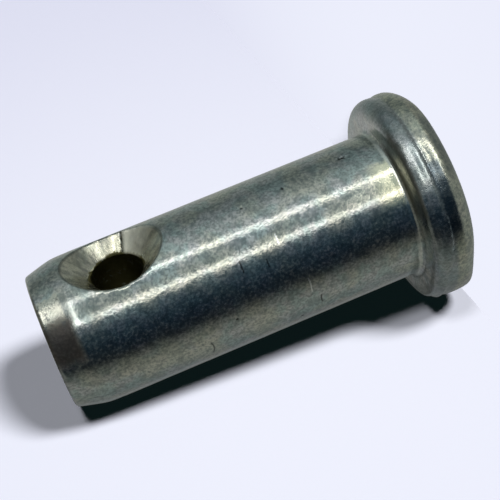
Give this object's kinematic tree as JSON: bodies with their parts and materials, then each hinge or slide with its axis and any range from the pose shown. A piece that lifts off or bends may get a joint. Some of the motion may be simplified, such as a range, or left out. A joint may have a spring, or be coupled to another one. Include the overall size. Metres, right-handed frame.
{
  "type": "clevis pin",
  "caption": "Headed clevis pin in plated steel: a plain round shank with a flat two-lobed head, a bevelled point and a countersunk cross-hole near the end for a cotter.",
  "frame": {"origin": "centre of the head's top face, on which the pin stands", "axes": "+Z along the pin's axis from the head to the point, Y along the cross-hole, X across it"},
  "size_m": [0.0112, 0.0112, 0.0215],
  "materials": {
    "plated_steel": "zinc plate over turned and headed steel, dull satin with a fine mottle, small pits and rubbed edges"
  },
  "bodies": {
    "root": {"clevis_pin": "plated_steel"}
  },
  "joints": []
}
